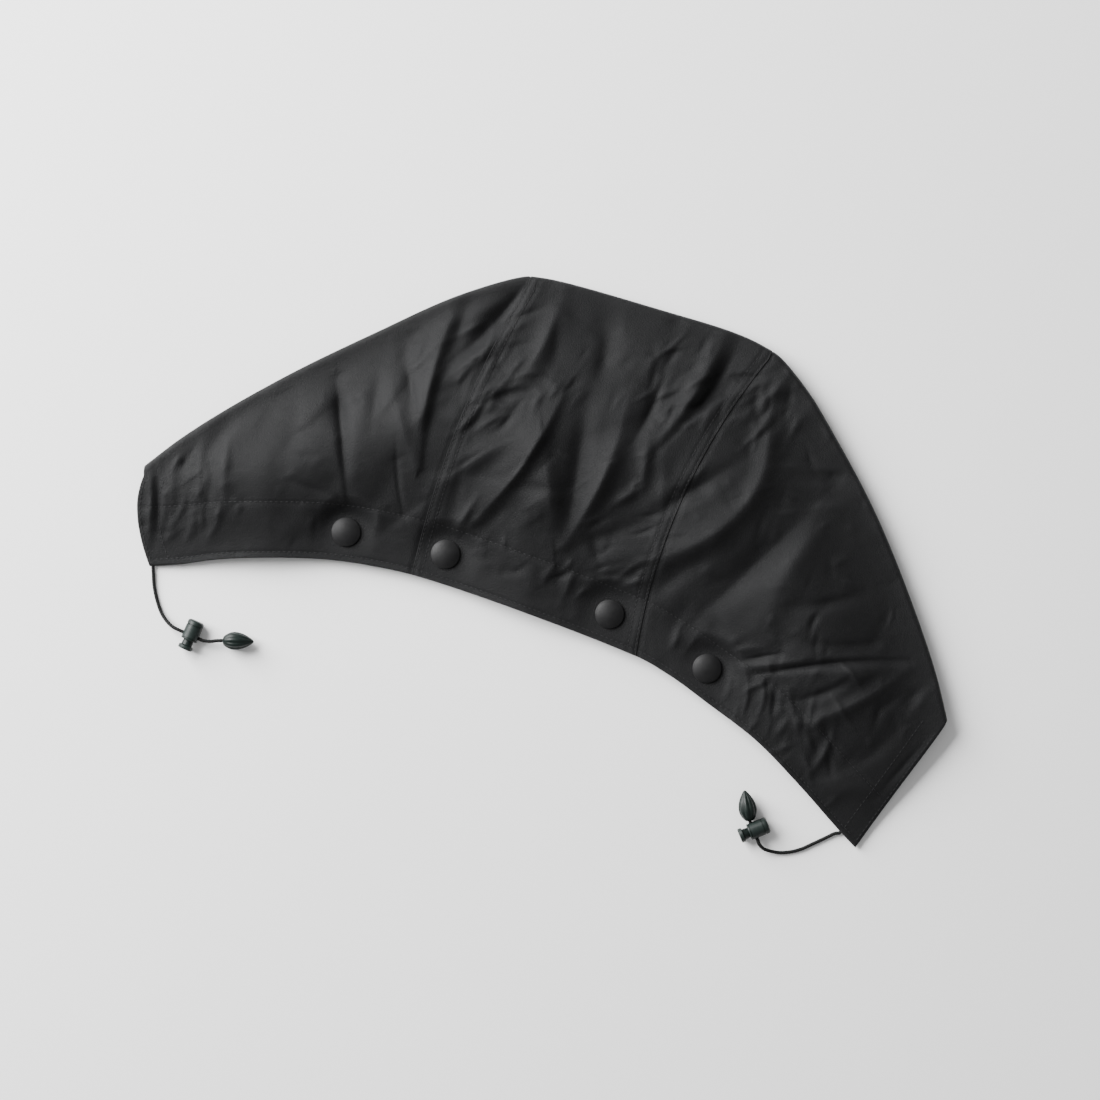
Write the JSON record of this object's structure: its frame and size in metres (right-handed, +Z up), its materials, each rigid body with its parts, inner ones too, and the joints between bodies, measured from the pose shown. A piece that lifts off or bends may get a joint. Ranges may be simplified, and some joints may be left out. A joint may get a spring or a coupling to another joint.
{
  "type": "detachable hood",
  "caption": "Panelled jacket hood of waxed cotton laid flat, with snaps along its neck edge and a face drawcord with sprung cord locks and cord ends.",
  "frame": {"origin": "on the floor, under the middle of the hood's outline, the cord ends apart", "axes": "+X along the hood from its left end to its right end, +Y from the neck edge to the crown, +Z up"},
  "size_m": [0.5028, 0.2988, 0.0307],
  "materials": {
    "waxed_cotton": "black waxed cotton, low sheen",
    "facing_cotton": "black cotton facing, matt",
    "lacquered_cap": "black lacquer, satin",
    "dark_metal": "dark plated metal",
    "cord": "black braided cord",
    "green_plastic": "very dark green moulded plastic, satin"
  },
  "bodies": {
    "hood": {"left_side_panel": "waxed_cotton", "centre_panel": "waxed_cotton", "right_side_panel": "waxed_cotton", "neck_band": "facing_cotton", "snap_cap_1": "lacquered_cap", "snap_cap_2": "lacquered_cap", "snap_cap_3": "lacquered_cap", "snap_cap_4": "lacquered_cap", "snap_socket_1": "dark_metal", "snap_socket_2": "dark_metal", "snap_socket_3": "dark_metal", "snap_socket_4": "dark_metal", "drawcord_left": "cord", "drawcord_right": "cord", "cord_lock_barrel_left": "green_plastic", "cord_lock_barrel_right": "green_plastic", "cord_end_left": "green_plastic", "cord_end_right": "green_plastic"},
    "plunger_left": {"cord_lock_plunger_left": "green_plastic"},
    "plunger_right": {"cord_lock_plunger_right": "green_plastic"}
  },
  "joints": [
    {"name": "press_left", "type": "slide", "parent": "hood", "child": "plunger_left", "axis": [0.0333, 0.9994, 0], "range_m": [0, 0.003], "stiffness_N_per_m": 600, "springref_m": -0.003},
    {"name": "press_right", "type": "slide", "parent": "hood", "child": "plunger_right", "axis": [0.7154, 0.6987, 0], "range_m": [0, 0.003], "stiffness_N_per_m": 600, "springref_m": -0.003}
  ]
}
